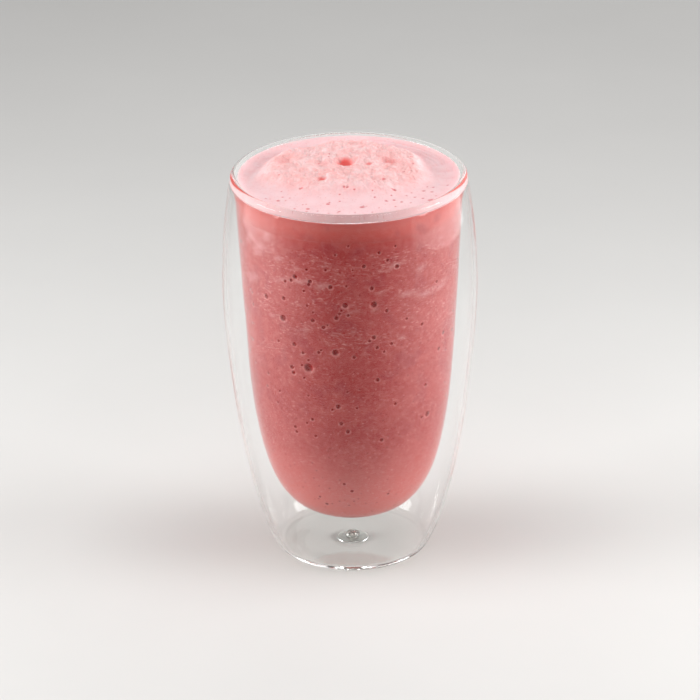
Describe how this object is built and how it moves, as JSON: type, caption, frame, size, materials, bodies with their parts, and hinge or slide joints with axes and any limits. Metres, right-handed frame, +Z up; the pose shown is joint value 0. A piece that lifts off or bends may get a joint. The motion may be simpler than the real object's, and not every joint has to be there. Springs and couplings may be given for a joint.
{
  "type": "strawberry smoothie in a double-walled glass",
  "caption": "Strawberry smoothie with a rough froth top, filled to the brim of a tall, rounded double-walled clear glass with a vent plug in its base",
  "frame": {"origin": "centre of the base, on the surface that the glass stands on", "axes": "+Z up along the glass's axis; -Y is the side that faces the viewer, +X is the viewer's right"},
  "size_m": [0.0932, 0.0932, 0.1483],
  "materials": {
    "glass": "clear blown glass, fire-polished, colourless",
    "vent_plug": "translucent clear silicone plug, slightly satin",
    "smoothie": "opaque pink drink, wet where it lies against the glass, with fine pale flecks and air bubbles",
    "froth": "pale pink froth, paler towards the glass, with fine icy grain and small air holes"
  },
  "bodies": {
    "root": {"glass": "glass", "vent_plug": "vent_plug", "smoothie": "smoothie", "froth": "froth"}
  },
  "joints": []
}
